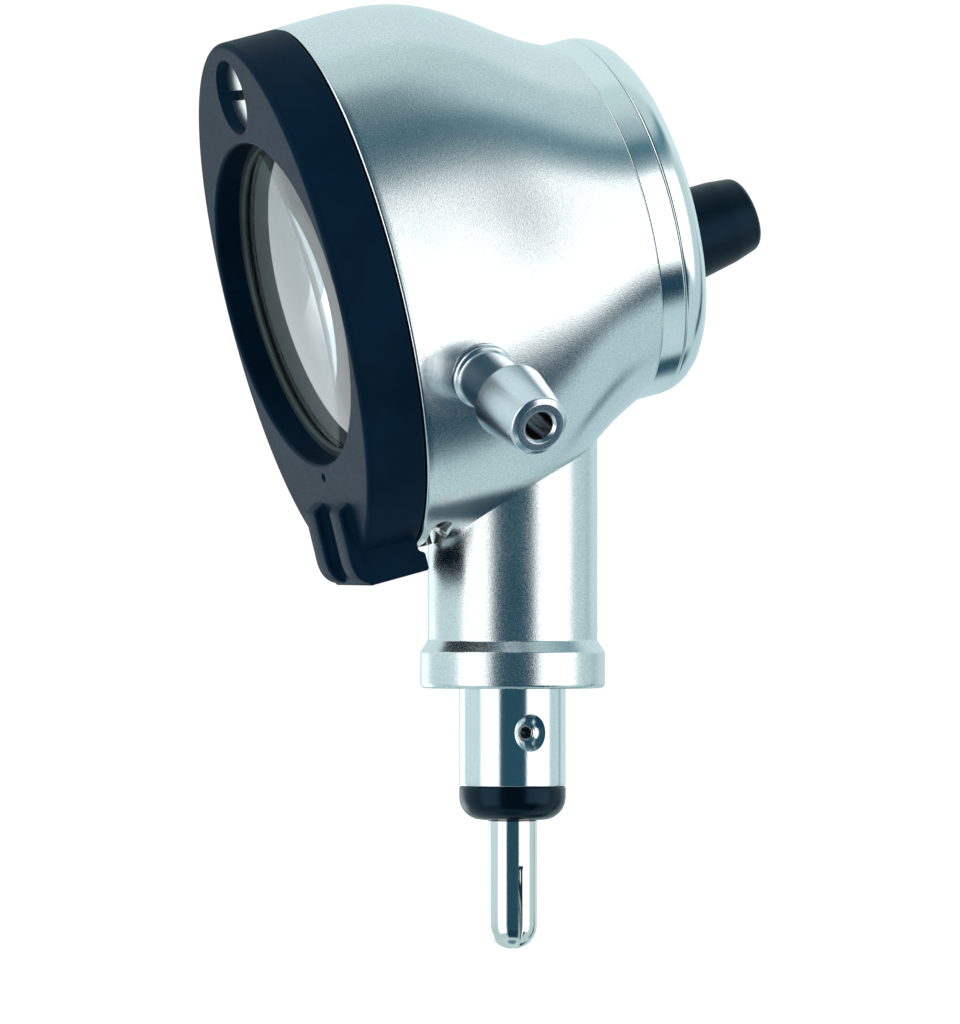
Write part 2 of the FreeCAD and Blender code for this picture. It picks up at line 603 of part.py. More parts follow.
def make_pivot(hollow):
    screw = turned("pivot_screw", PIVOT, [
        ("0", "head_at"), ("head_radius", "head_at"), ("head_radius", "head_at + head_depth"),
        ("shoulder_radius", "head_at + head_depth"), ("shoulder_radius", "shoulder_end"),
        ("thread_shank", "shoulder_end"), ("thread_shank", "shank_end"), ("0", "shank_end")])
    round_edges(screw, screw.Tip, "seam", ring_edge("head_radius", "head_at"), "Chamfer")
    slot = outline(new_sketch(screw, "DriverSlot", "XY_Plane", "head_at"), [
        ("-driver_slot / 2", "-head_radius - cut_margin"),
        ("driver_slot / 2", "-head_radius - cut_margin"),
        ("driver_slot / 2", "head_radius + cut_margin"),
        ("-driver_slot / 2", "head_radius + cut_margin")])
    pocket(screw, slot, "driver_depth")
    piece(screw, "pivot_screw")
    piece(turned("spring_washer", PIVOT, [
        ("shoulder_radius", "head_at + head_depth"),
        ("spring_radius - spring_flat", "head_at + head_depth"),
        ("spring_radius", "head_at + head_depth + spring_dish"),
        ("spring_radius", "counterbore_depth - spring_gap"),
        ("shoulder_radius", "counterbore_depth - spring_gap - spring_dish")]), "spring_washer")
    post = cylinder("InsertPost", "insert_radius", "insert_end - shoulder_end", PIVOT,
                    "shoulder_end")
    foot = block("InsertFoot", ("-insert_foot", "-insert_radius", "shoulder_end"),
                 ("0", "insert_radius", "insert_end"), PIVOT)
    blank = boolean("Fuse", "InsertBlank", post, foot)
    fitted = boolean("Common", "InsertFitted", blank, hollow)
    tapped = cylinder("InsertThread", "thread_shank", "insert_end", PIVOT)
    piece(boolean("Cut", "PivotInsert", fitted, tapped), "pivot_insert")


# ---------------------------------------------------------------- lamp and wiring

def make_lamp_holder():
    """A plate in the neck's top with a clamp that aims the socket at the nose."""
    plate = cylinder("HolderPlate", "neck_bore", "plate_top - plate_bottom", UPRIGHT,
                     "plate_bottom")
    stay = block("HolderStay", ("lamp_x", "-stay_half", "plate_top - stay_sink"),
                 ("lamp_x + stay_reach", "stay_half", "plate_top + stay_rise"), UPRIGHT)
    clamp = cylinder("HolderClamp", "clamp_radius", "clamp_length", LAMP, "clamp_at")
    solid = doc.addObject("Part::MultiFuse", "HolderSolid")
    solid.Shapes = [plate, stay, clamp]
    holes = doc.addObject("Part::MultiFuse", "HolderHoles")
    holes.Shapes = [
        cylinder("SocketHole", "socket_radius", "3 * clamp_length", LAMP, "-clamp_length"),
        cylinder("LeadHole", "lead_hole", "2 * clamp_length", bound(
            "placement(vector(lead_x, 0, plate_bottom - cut_margin),"
            " rotation(vector(0, 0, 1), 0))"))]
    piece(boolean("Cut", "LampHolder", solid, holes), "lamp_holder")
    piece(turned("lamp_socket", LAMP, [
        ("lamp_radius", "0"), ("socket_radius", "0"), ("socket_radius", "socket_end"),
        ("lamp_radius", "socket_end")]), "lamp_socket")


def make_lamp():
    piece(turned("lamp_base", LAMP, [
        ("bead_radius", "lamp_back"), ("lamp_radius", "lamp_back"),
        ("lamp_radius", "socket_end"), ("lamp_flange", "socket_end"),
        ("lamp_flange", "lamp_front"), ("bulb_radius", "lamp_front"),
        ("bulb_radius", "lamp_shelf"), ("bead_radius", "lamp_shelf")]), "lamp_base")
    piece(turned("lamp_insulator", LAMP, [
        ("button_radius", "bead_back"), ("bead_radius", "bead_back"),
        ("bead_radius", "lamp_shelf"), ("button_radius", "lamp_shelf")]),
        "lamp_insulator")
    button = turned("lamp_contact", LAMP, [
        ("0", "button_back"), ("button_radius", "button_back"),
        ("button_radius", "lamp_shelf"), ("0", "lamp_shelf")])
    round_edges(button, button.Tip, "button_round", ring_edge("button_radius", "button_back"))
    piece(button, "lamp_contact")
    envelope = turned("BulbOuter", LAMP, [
        ("0", "lamp_shelf"), ("bulb_radius", "lamp_shelf"), ("bulb_radius", "bulb_end"),
        ("0", "bulb_end")])
    round_edges(envelope, envelope.Tip, "bulb_round", ring_edge("bulb_radius", "bulb_end"))
    inner = "bulb_radius - glass_wall"
    inside = turned("BulbInner", LAMP, [
        ("0", "lamp_shelf + glass_wall"), (inner, "lamp_shelf + glass_wall"),
        (inner, "glass_end"), ("0", "glass_end")])
    round_edges(inside, inside.Tip, "glass_round", ring_edge(inner, "glass_end"))
    piece(boolean("Cut", "LampGlass", envelope, inside), "lamp_glass")
    make_filament()


def make_filament():
    """Two support wires with the glowing wire between them."""
    wires = []
    rise = "filament_at - lamp_shelf - glass_wall"
    for name, sign in (("Left", "-1"), ("Right", "1")):
        foot = bound(f"placement(vector(0, {sign} * filament_half, lamp_shelf + glass_wall),"
                     " rotation(vector(0, 0, 1), 0))")
        wires.append(cylinder("Support" + name, "2 * filament_radius", rise, LAMP + " * " + foot))
    across = bound("placement(vector(0, -filament_half, filament_at),"
                   " rotation(vector(1, 0, 0), -90))")
    wires.append(cylinder("GlowWire", "3 * filament_radius", "2 * filament_half",
                          LAMP + " * " + across))
    fused = doc.addObject("Part::MultiFuse", "Filament")
    fused.Shapes = wires
    piece(fused, "lamp_filament")


def make_contact_strip():
    """The springy strip behind the lamp's contact, on its insulating block."""
    behind = "button_back - strip_thick"
    piece(block("ContactLeaf", ("strip_from", "-strip_half", behind),
                ("strip_to", "strip_half", "button_back"), LAMP), "contact_leaf")
    piece(block("LeafBlock", ("rest_from", "-rest_half", f"{behind} - rest_depth"),
                ("strip_to", "rest_half", behind), LAMP), "leaf_insulator")


def make_lead():
    """The wire that runs up the neck and bends over to the contact strip."""
    rise = cylinder("LeadRise", "lead_radius", "lead_level - lead_turn - lead_bottom", bound(
        "placement(vector(lead_x, 0, lead_bottom), rotation(vector(0, 0, 1), 0))"))
    bend = doc.addObject("Part::Torus", "LeadBend")
    bend.setExpression("Radius1", bound("lead_turn"))
    bend.setExpression("Radius2", bound("lead_radius"))
    bend.Angle3 = 90
    place(bend, bound(
        "placement(vector(lead_x + lead_turn, 0, lead_level - lead_turn),"
        " rotation(vector(0, 1, 0), -90))"
        " * placement(vector(0, 0, 0), rotation(vector(1, 0, 0), 90))"))
    run = cylinder("LeadRun", "lead_radius", "lead_end - lead_x - lead_turn", bound(
        "placement(vector(lead_x + lead_turn, 0, lead_level), rotation(vector(0, 1, 0), 90))"))
    lead = doc.addObject("Part::MultiFuse", "Lead")
    lead.Shapes = [rise, bend, run]
    piece(lead, "lead_wire")


# ---------------------------------------------------------------- build and write

def check_document():
    """Stop if any feature failed or any sub-part is not a sound solid."""
    doc.recompute()
    bad = [item.Label for item in doc.Objects
           if "Invalid" in item.State or "Error" in item.State]
    if bad:
        raise RuntimeError("failed features: " + ", ".join(bad))
    for part in pieces:
        shape = part.Shape
        if shape.isNull() or not shape.isValid() or not shape.Solids:
            raise RuntimeError("unsound sub-part: " + part.Label)
        print(f"{part.Label:20s} {shape.Volume:10.2f} mm3 {len(shape.Solids)} solid")


def write_parts():
    os.makedirs("parts", exist_ok=True)
    for part in pieces:
        part.Shape.exportStep(os.path.join("parts", part.Label + ".step"))


make_neck()
make_barrel()
make_insulators()
make_contact_pin()
make_pin_fixing()
insufflation_port = make_port()
housing_hollow = make_housing(insufflation_port)
make_detent()
make_front()
make_nose()
make_lens_frame()
make_retainer()
make_lens()
make_pivot(housing_hollow)
make_lamp_holder()
make_lamp()
make_contact_strip()
make_lead()
check_document()
write_parts()
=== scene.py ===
import math

import bmesh
import bpy
from mathutils import Matrix, Vector
from mathutils.bvhtree import BVHTree


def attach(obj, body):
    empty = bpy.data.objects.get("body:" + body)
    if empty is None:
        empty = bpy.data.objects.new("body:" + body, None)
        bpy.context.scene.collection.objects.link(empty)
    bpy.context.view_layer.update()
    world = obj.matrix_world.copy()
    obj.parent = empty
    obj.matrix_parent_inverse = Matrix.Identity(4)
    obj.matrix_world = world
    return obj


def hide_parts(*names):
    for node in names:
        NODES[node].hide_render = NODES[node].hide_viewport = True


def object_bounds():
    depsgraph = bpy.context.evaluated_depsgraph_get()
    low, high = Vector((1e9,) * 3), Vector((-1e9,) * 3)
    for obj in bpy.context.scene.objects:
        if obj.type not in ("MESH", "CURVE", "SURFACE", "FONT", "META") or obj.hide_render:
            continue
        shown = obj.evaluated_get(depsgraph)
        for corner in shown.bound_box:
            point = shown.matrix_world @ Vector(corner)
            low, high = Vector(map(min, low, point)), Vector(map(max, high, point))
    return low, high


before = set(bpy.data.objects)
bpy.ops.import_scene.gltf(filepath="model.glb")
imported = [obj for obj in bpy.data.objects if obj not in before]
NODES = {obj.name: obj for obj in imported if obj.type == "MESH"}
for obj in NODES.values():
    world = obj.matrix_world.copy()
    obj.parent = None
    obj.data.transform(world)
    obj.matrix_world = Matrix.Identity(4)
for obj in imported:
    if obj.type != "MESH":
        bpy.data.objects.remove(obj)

# Otoscope head: rounded outer pieces, materials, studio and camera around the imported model.
# Profiles and sections are in millimetres; meshes and node settings are in metres.

cad_low, cad_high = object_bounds()
MM = 0.001
AROUND = 180            # sides of everything turned or lofted
PEG_SIDES = 20          # sides of a very small round cutter
ARC_STEPS = 6           # steps in a rounded corner of a profile
BEVEL_STEPS = 4         # steps in a rounded edge of a prism
END_STEPS = 12          # steps round each end of the long window
LENS_RINGS = 40         # rings in each face of the lens
HOUSING_RINGS = 44      # rings along the housing
POLE = 1e-6             # a radius below this is a point on the axis
SHARP_ANGLE = 40        # edges that turn more than this many degrees stay sharp
NEAR = 0.03 * MM        # a cut face this near the old surface is part of it
ALIGNED = 0.9           # cosine between a face and the normal that it may take over


# ---------------------------------------------------------------- frames

def spun(axis, degrees):
    """A turn about an axis through the origin."""
    return Matrix.Rotation(math.radians(degrees), 4, axis)


def shifted(x, y, z):
    """A move in millimetres."""
    return Matrix.Translation(Vector((x, y, z)) * MM)


HEAD_TILT = 14.5
UPRIGHT = Matrix.Identity(4)
HEAD = shifted(-19.92, 0, 31.15) @ spun("Y", 90 - HEAD_TILT)
NOSE = HEAD @ shifted(3.48, 0, 31.85) @ spun("Y", -6)
PIVOT = HEAD @ shifted(-17.3, 0, 0)
PORT = HEAD @ shifted(8.7, -13.0, 10.7) @ spun("Z", 23) @ spun("X", 90)
DIMPLE = shifted(0, 0, -3.6) @ spun("X", 90)


# ---------------------------------------------------------------- shapes

def rounded(corners):
    """Profile points in millimetres; each corner is (radius, height, rounding)."""
    points = []
    count = len(corners)
    for index, (radius, height, rounding) in enumerate(corners):
        here = Vector((radius, height))
        if rounding == 0:
            points.append(here)
            continue
        before = Vector(corners[index - 1][:2]) - here
        after = Vector(corners[(index + 1) % count][:2]) - here
        half = before.angle(after) / 2
        reach = rounding / math.tan(half)
        first = here + before.normalized() * reach
        last = here + after.normalized() * reach
        centre = here + (before.normalized() + after.normalized()).normalized() * (
            rounding / math.sin(half))
        swing = (first - centre).angle_signed(last - centre)
        for step in range(ARC_STEPS + 1):
            turned = Matrix.Rotation(-swing * step / ARC_STEPS, 2)
            points.append(centre + turned @ (first - centre))
    return points


def full_turn():
    """The angles of all sides, in radians."""
    return [2 * math.pi * step / AROUND for step in range(AROUND)]


def ring(mesh, at, tall, wide):
    """An oval of vertices at a height along z."""
    return [mesh.verts.new((tall * math.cos(a) * MM, wide * math.sin(a) * MM, at * MM))
            for a in full_turn()]


def lathe(corners, closed=True):
    """A bmesh turned about z from a rounded profile; radius 0 makes a pole."""
    mesh = bmesh.new()
    rings = []
    for radius, height in rounded(corners):
        if radius < POLE:
            rings.append([mesh.verts.new((0, 0, height * MM))])
        else:
            rings.append(ring(mesh, height, radius, radius))
    pairs = list(zip(rings, rings[1:]))
    if closed:
        pairs.append((rings[-1], rings[0]))
    for lower, upper in pairs:
        join_rings(mesh, lower, upper)
    bmesh.ops.recalc_face_normals(mesh, faces=mesh.faces)
    return mesh


def join_rings(mesh, lower, upper):
    """Faces between two rings, either of which may be a single pole."""
    if len(lower) == 1 and len(upper) == 1:
        return
    for step in range(AROUND):
        follower = (step + 1) % AROUND
        if len(lower) == 1:
            mesh.faces.new((lower[0], upper[step], upper[follower]))
        elif len(upper) == 1:
            mesh.faces.new((lower[step], lower[follower], upper[0]))
        else:
            mesh.faces.new((lower[step], lower[follower], upper[follower], upper[step]))


def rod(radius, start, end):
    """A plain round cutter along z."""
    return lathe([(0, start, 0), (radius, start, 0), (radius, end, 0), (0, end, 0)], closed=False)


def peg(radius, start, end):
    """A small round cutter along z with few sides."""
    mesh = bmesh.new()
    bmesh.ops.create_cone(mesh, cap_ends=True, segments=PEG_SIDES, radius1=radius * MM,
                          radius2=radius * MM, depth=(end - start) * MM)
    bmesh.ops.translate(mesh, vec=(0, 0, (start + end) / 2 * MM), verts=mesh.verts)
    return mesh


def slab(low, high):
    """A box-shaped cutter between two corners in millimetres."""
    mesh = bmesh.new()
    bmesh.ops.create_cube(mesh, size=1)
    middle = [(a + b) / 2 * MM for a, b in zip(low, high)]
    span = [(b - a) * MM for a, b in zip(low, high)]
    bmesh.ops.scale(mesh, vec=span, verts=mesh.verts)
    bmesh.ops.translate(mesh, vec=middle, verts=mesh.verts)
    return mesh


def spline(knots, values):
    """A natural cubic through the values, as a function of the place along the knots."""
    steps = [after - before for before, after in zip(knots, knots[1:])]
    slopes = [(after - before) / step
              for before, after, step in zip(values, values[1:], steps)]
    bends = [0.0] * len(knots)
    for _ in range(60):
        for i in range(1, len(knots) - 1):
            pull = 6 * (slopes[i] - slopes[i - 1])
            pull -= steps[i - 1] * bends[i - 1] + steps[i] * bends[i + 1]
            bends[i] = pull / (2 * (steps[i - 1] + steps[i]))

    def value(at):
        i = max(k for k in range(len(steps)) if k == 0 or knots[k] <= at)
        left = at - knots[i]
        right = knots[i + 1] - at
        cubes = (bends[i] * right ** 3 + bends[i + 1] * left ** 3) / (6 * steps[i])
        first = (values[i] / steps[i] - bends[i] * steps[i] / 6) * right
        return cubes + first + (values[i + 1] / steps[i] - bends[i + 1] * steps[i] / 6) * left

    return value


def quarter(rounding):
    """Inset and advance, in millimetres, along a quarter round."""
    turns = [math.pi / 2 * step / ARC_STEPS for step in range(ARC_STEPS + 1)]
    return [(rounding * (1 - math.sin(t)), rounding * (1 - math.cos(t))) for t in turns]


def loft(sections):
    """A closed bmesh through ovals given as (place along z, half along x, half along y)."""
    mesh = bmesh.new()
    rings = [ring(mesh, at, tall, wide) for at, tall, wide in sections]
    for lower, upper in zip(rings, rings[1:] + rings[:1]):
        join_rings(mesh, lower, upper)
    bmesh.ops.recalc_face_normals(mesh, faces=mesh.faces)
    return mesh


def between(near, far):
    """A closed bmesh between two outlines of as many points, in millimetres."""
    mesh = bmesh.new()
    first = [mesh.verts.new(Vector(point) * MM) for point in near]
    last = [mesh.verts.new(Vector(point) * MM) for point in far]
    mesh.faces.new(first)
    mesh.faces.new(last[::-1])
    for i in range(len(first)):
        after = (i + 1) % len(first)
        mesh.faces.new((first[after], first[i], last[i], last[after]))
    bmesh.ops.recalc_face_normals(mesh, faces=mesh.faces)
    return mesh


def prism(outline, half, rounding):
    """An outline in the xz plane made as wide as twice half along y, its edges rounded."""
    mesh = between([(x, -half, z) for x, z in outline], [(x, half, z) for x, z in outline])
    bmesh.ops.bevel(mesh, geom=list(mesh.edges), offset=rounding * MM, segments=BEVEL_STEPS,
                    profile=0.5, affect="EDGES", clamp_overlap=True)
    return mesh


def as_object(name, shape, place):
    """A smooth-shaded object made from a shape and moved to its place."""
    bmesh.ops.transform(shape, matrix=place, verts=shape.verts)
    data = bpy.data.meshes.new(name)
    shape.to_mesh(data)
    shape.free()
    data.polygons.foreach_set("use_smooth", [True] * len(data.polygons))
    thing = bpy.data.objects.new(name, data)
    bpy.context.scene.collection.objects.link(thing)
    return thing


def finish_with(thing, modifier):
    """Replace an object's mesh by what one modifier makes of it."""
    evaluated = thing.evaluated_get(bpy.context.evaluated_depsgraph_get())
    data = bpy.data.meshes.new_from_object(evaluated)
    thing.modifiers.remove(modifier)
    old = thing.data
    thing.data = data
    bpy.data.meshes.remove(old)


def settle_normals(thing):
    """Let the large faces set the normals, so that flats stay flat beside their roundings."""
    sharpen(thing.data)
    modifier = thing.modifiers.new("flats", "WEIGHTED_NORMAL")
    modifier.weight = 100
    modifier.keep_sharp = True
    finish_with(thing, modifier)


def sharpen(data):
    """Mark the edges that turn a lot as sharp."""
    mesh = bmesh.new()
    mesh.from_mesh(data)
    for edge in mesh.edges:
        turns = len(edge.link_faces) == 2 and edge.calc_face_angle() > math.radians(SHARP_ANGLE)
        edge.smooth = not turns
    mesh.to_mesh(data)
    mesh.free()


def corner_normals(data):
    """For each face, its corner points and corner normals."""
    table = []
    for face in data.polygons:
        table.append([(data.vertices[data.loops[i].vertex_index].co.copy(),
                       data.corner_normals[i].vector.copy()) for i in face.loop_indices])
    return table


def blended(corners, point):
    """A normal inside a face, weighted by nearness to its corners."""
    total = Vector()
    for place, normal in corners:
        total += normal / max((place - point).length, 1e-7) ** 2
    return total.normalized()


def combine(thing, shape, place, operation):
    """Cut a shape away or join it on, and keep the shading that the surface had before."""
    before = corner_normals(thing.data)
    tree = BVHTree.FromPolygons([v.co for v in thing.data.vertices],
                                [list(p.vertices) for p in thing.data.polygons])
    tool = as_object("tool", shape, place)
    modifier = thing.modifiers.new("combine", "BOOLEAN")
    modifier.operation = operation
    modifier.solver = "EXACT"
    modifier.object = tool
    finish_with(thing, modifier)
    bpy.data.objects.remove(tool)
    data = thing.data
    flats = [face.normal.copy() for face in data.polygons]
    normals = [data.corner_normals[i].vector.copy() for i in range(len(data.loops))]
    for face, flat in zip(data.polygons, flats):
        spot, _, source, distance = tree.find_nearest(face.center)
        if distance > NEAR:
            continue
        for index in face.loop_indices:
            point = data.vertices[data.loops[index].vertex_index].co
            normal = blended(before[source], point)
            if normal.dot(flat) > ALIGNED:
                normals[index] = normal
    data.normals_split_custom_set(normals)


def make_piece(name, shape, place, material, body, node, joins=(), cuts=()):
    """A visible piece that stands for a CAD node, with its joins, its cuts and its material."""
    thing = as_object(name, shape, place)
    settle_normals(thing)
    for part, where in joins:
        combine(thing, part, where, "UNION")
    for cutter, where in cuts:
        combine(thing, cutter, where, "DIFFERENCE")
    dress(thing, material)
    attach(thing, body)
    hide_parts(node)
    return thing


# ---------------------------------------------------------------- node helpers

def new_tree(name):
    """A material with one Principled shader, its node tree and that shader."""
    material = bpy.data.materials.new(name)
    material.use_nodes = True
    tree = material.node_tree
    tree.nodes.clear()
    output = tree.nodes.new("ShaderNodeOutputMaterial")
    shader = tree.nodes.new("ShaderNodeBsdfPrincipled")
    tree.links.new(shader.outputs[0], output.inputs["Surface"])
    return material, tree, shader


def add(tree, kind, inputs=(), **settings):
    """A node with its settings and its inputs, each a value or another node's output."""
    node = tree.nodes.new("ShaderNode" + kind)
    for key, value in settings.items():
        setattr(node, key, value)
    for key, value in dict(inputs).items():
        if isinstance(value, bpy.types.NodeSocket):
            tree.links.new(value, node.inputs[key])
        else:
            node.inputs[key].default_value = value
    return node


def noise(tree, grain, detail=3.0, rough=0.5):
    """Noise whose features are about one grain across, in metres."""
    where = add(tree, "TexCoord").outputs["Object"]
    inputs = {"Vector": where, "Scale": 1 / grain, "Detail": detail, "Roughness": rough}
    return add(tree, "TexNoise", inputs).outputs["Fac"]


def spread(tree, value, low, high, start=0.3, end=0.7):
    """Map a texture's value from start..end to low..high."""
    inputs = {"Value": value, "From Min": start, "From Max": end, "To Min": low, "To Max": high}
    return add(tree, "MapRange", inputs).outputs["Result"]


def calc(tree, operation, first, second=0.0, third=0.0):
    """One arithmetic step between values or outputs."""
    inputs = {0: first, 1: second, 2: third}
    return add(tree, "Math", inputs, operation=operation).outputs[0]


def tint(tree, factor, first, second):
    """A colour between two, each a triple or an output, by a factor."""
    mix = tree.nodes.new("ShaderNodeMix")
    mix.data_type = "RGBA"
    tree.links.new(factor, mix.inputs["Factor"])
    for socket, colour in ((mix.inputs[6], first), (mix.inputs[7], second)):
        if isinstance(colour, bpy.types.NodeSocket):
            tree.links.new(colour, socket)
        else:
            socket.default_value = (*colour, 1)
    return mix.outputs[2]


def bump(tree, shader, height, distance):
    """Give a shader a bump of the stated depth in metres."""
    node = add(tree, "Bump", {"Height": height, "Distance": distance, "Strength": 1.0})
    tree.links.new(node.outputs["Normal"], shader.inputs["Normal"])


# ---------------------------------------------------------------- materials

def metal(name, light, dark, rough, grain, depth, streaks=0.0, speckle=0.06):
    """Plated or bare metal with a fine grain, patchy gloss and slight colour drift."""
    material, tree, shader = new_tree(name)
    patches = noise(tree, 6 * MM, detail=4)
    fine = noise(tree, grain, detail=2)
    colour = tint(tree, spread(tree, patches, 0.0, 1.0), light, dark)
    grey = [channel * (1 - speckle) for channel in light]
    mottled = tint(tree, spread(tree, noise(tree, 1.4 * grain), 0.0, 0.8), colour, grey)
    tree.links.new(mottled, shader.inputs["Base Color"])
    shader.inputs["Metallic"].default_value = 1.0
    gloss = spread(tree, patches, rough * 0.88, rough * 1.12)
    grained = calc(tree, "ADD", gloss, spread(tree, fine, -streaks, streaks))
    tree.links.new(grained, shader.inputs["Roughness"])
    bump(tree, shader, fine, depth)
    return material


def frosted(name, light, dark, rough):
    """Light matt plating, as on the inside of the shell."""
    material, tree, shader = new_tree(name)
    cloud = noise(tree, 3 * MM, detail=4)
    grain = noise(tree, 0.2 * MM)
    tree.links.new(tint(tree, cloud, light, dark), shader.inputs["Base Color"])
    shader.inputs["Metallic"].default_value = 0.35
    tree.links.new(spread(tree, grain, rough * 0.9, rough * 1.1), shader.inputs["Roughness"])
    bump(tree, shader, grain, 0.006 * MM)
    return material


def plastic(name, light, dark, rough, grain, depth, shine=0.5, sheen=(1, 1, 1)):
    """Moulded plastic with a spark-eroded skin."""
    material, tree, shader = new_tree(name)
    patches = noise(tree, 5 * MM, detail=4)
    skin = noise(tree, grain, detail=3, rough=0.6)
    colour = tint(tree, spread(tree, patches, 0.0, 1.0), light, dark)
    tree.links.new(colour, shader.inputs["Base Color"])
    tree.links.new(spread(tree, skin, rough * 0.85, rough * 1.15), shader.inputs["Roughness"])
    shader.inputs["Specular IOR Level"].default_value = shine
    shader.inputs["Specular Tint"].default_value = (*sheen, 1)
    bump(tree, shader, skin, depth)
    return material


def clear(name, colour, rough, ior):
    """Polished glass with the faintest unevenness in its gloss."""
    material, tree, shader = new_tree(name)
    film = noise(tree, 4 * MM, detail=3)
    tree.links.new(tint(tree, film, colour, [c * 0.99 for c in colour]),
                   shader.inputs["Base Color"])
    shader.inputs["Transmission Weight"].default_value = 1.0
    shader.inputs["IOR"].default_value = ior
    tree.links.new(spread(tree, film, rough * 0.5, rough * 1.5), shader.inputs["Roughness"])
    return material


SATIN = metal("satin_chrome_skin", (0.90, 0.92, 0.92), (0.84, 0.87, 0.88), 0.19, 0.10 * MM,
              0.005 * MM, streaks=0.05, speckle=0.28)
BRIGHT = metal("bright_chrome_skin", (0.90, 0.92, 0.92), (0.85, 0.88, 0.88), 0.13, 0.12 * MM,
               0.003 * MM, streaks=0.03, speckle=0.12)
PORT_CHROME = metal("port_chrome_skin", (0.86, 0.88, 0.91), (0.78, 0.80, 0.85), 0.21, 0.12 * MM,
                    0.004 * MM, streaks=0.04, speckle=0.15)
NECK = metal("neck_chrome_skin", (0.90, 0.92, 0.92), (0.85, 0.88, 0.88), 0.26, 0.12 * MM,
             0.006 * MM, streaks=0.07, speckle=0.28)
NICKEL = metal("nickel_skin", (0.88, 0.86, 0.82), (0.81, 0.79, 0.75), 0.10, 0.15 * MM,
               0.001 * MM, streaks=0.02)
INSIDE = frosted("inner_plating_skin", (0.93, 0.95, 0.95), (0.86, 0.89, 0.90), 0.5)
STEEL = metal("steel_skin", (0.90, 0.91, 0.89), (0.78, 0.80, 0.79), 0.30, 0.10 * MM,
              0.003 * MM, streaks=0.04)
BRASS = metal("brass_skin", (0.78, 0.62, 0.34), (0.66, 0.50, 0.26), 0.26, 0.2 * MM,
              0.003 * MM, streaks=0.04)
BRONZE = metal("bronze_skin", (0.42, 0.40, 0.37), (0.30, 0.29, 0.27), 0.3, 0.2 * MM,
               0.003 * MM, streaks=0.04)
TUNGSTEN = metal("tungsten_skin", (0.30, 0.29, 0.28), (0.22, 0.21, 0.21), 0.4, 0.1 * MM,
                 0.002 * MM)
BLUE_SHEEN = (0.25, 0.62, 1.0)
BLACK = plastic("black_moulding_skin", (0.003, 0.018, 0.040), (0.002, 0.012, 0.029), 0.50,
                0.13 * MM, 0.012 * MM, shine=0.10, sheen=BLUE_SHEEN)
GLOSS_BLACK = plastic("nose_skin", (0.003, 0.010, 0.019), (0.002, 0.006, 0.012), 0.36,
                      0.12 * MM, 0.006 * MM, shine=0.25, sheen=BLUE_SHEEN)
INSULATOR = plastic("insulator_skin", (0.002, 0.006, 0.010), (0.001, 0.004, 0.007), 0.22,
                    0.2 * MM, 0.002 * MM, shine=0.35, sheen=BLUE_SHEEN)
GREY = plastic("retainer_skin", (0.06, 0.08, 0.08), (0.04, 0.055, 0.055), 0.35, 0.15 * MM,
               0.003 * MM, shine=0.25)
FIBRE = plastic("fibre_skin", (0.40, 0.17, 0.10), (0.30, 0.12, 0.07), 0.6, 0.2 * MM, 0.01 * MM)
RUBBER = plastic("rubber_skin", (0.03, 0.03, 0.033), (0.02, 0.02, 0.022), 0.6, 0.2 * MM,
                 0.005 * MM)
SLEEVE = plastic("lead_skin", (0.50, 0.04, 0.03), (0.36, 0.03, 0.02), 0.4, 0.3 * MM, 0.004 * MM)
LENS = clear("lens_glass_skin", (0.96, 0.985, 0.985), 0.01, 1.52)
BULB = clear("bulb_glass_skin", (0.97, 0.98, 0.98), 0.02, 1.50)

CAD_SKINS = {
    NICKEL: ["lamp_base"],
    STEEL: ["spring_washer"],
    BRASS: ["solder_tag", "pin_nut", "pivot_insert", "lamp_holder", "lamp_socket"],
    BRONZE: ["detent_spring", "contact_leaf"],
    TUNGSTEN: ["lamp_filament", "lamp_contact"],
    INSULATOR: ["insulator_sleeve", "lamp_insulator"],
    FIBRE: ["insulator_washer", "leaf_insulator"],
    RUBBER: ["cap_gasket", "lens_seal"],
    SLEEVE: ["lead_wire"],
    BULB: ["lamp_glass"],
}


def dress(thing, material):
    """Give a thing one material in place of any it has."""
    thing.data.materials.clear()
    thing.data.materials.append(material)


def dress_nodes():
    """Give the CAD nodes that stay visible their materials."""
    for skin, names in CAD_SKINS.items():
        for name in names:
            dress(NODES[name], skin)


# ---------------------------------------------------------------- pieces of the head

def make_neck():
    """The neck tube with its flange."""
    shape = lathe([
        (4.8, 0, 0.1), (7.55, 0, 0.4), (7.55, 2.95, 0.35), (6.93, 3.9, 0.4),
        (6.93, 21.45, 0.1), (5.9, 21.45, 0.1), (5.9, 4.2, 0), (4.8, 4.2, 0.1)])
    make_piece("neck", shape, UPRIGHT, NECK, "head", "neck_sleeve")


def make_barrel():
    """The plug with its drilled dimple; short wall faces keep the shading clean round it."""
    wall = [(4.35, -8 + 0.5 * step, 0) for step in range(1, 16)]
    shape = lathe([(3.0, -8, 0.05), (4.35, -8, 0.12)] + wall + [
        (4.35, 0, 0), (4.8, 0, 0), (4.8, 4.2, 0), (5.9, 4.2, 0), (5.9, 6, 0.1), (3.0, 6, 0.1)])
    dimple = lathe([(0, 2.95, 0), (0.65, 3.42, 0.05), (1.53, 4.35, 0.12),
                    (2.6, 4.6, 0), (2.6, 6, 0), (0, 6, 0)], closed=False)
    make_piece("plug", shape, UPRIGHT, BRIGHT, "head", "plug_barrel",
               cuts=[(dimple, DIMPLE)])


def make_tip():
    """The rounded insulator below the plug."""
    shape = lathe([
        (1.6, -10.75, 0.1), (4.35, -10.75, 1.85), (4.35, -8.02, 0.15), (3.0, -8.02, 0),
        (3.0, -6, 0), (1.6, -6, 0)])
    make_piece("tip", shape, UPRIGHT, INSULATOR, "head", "insulator_tip")


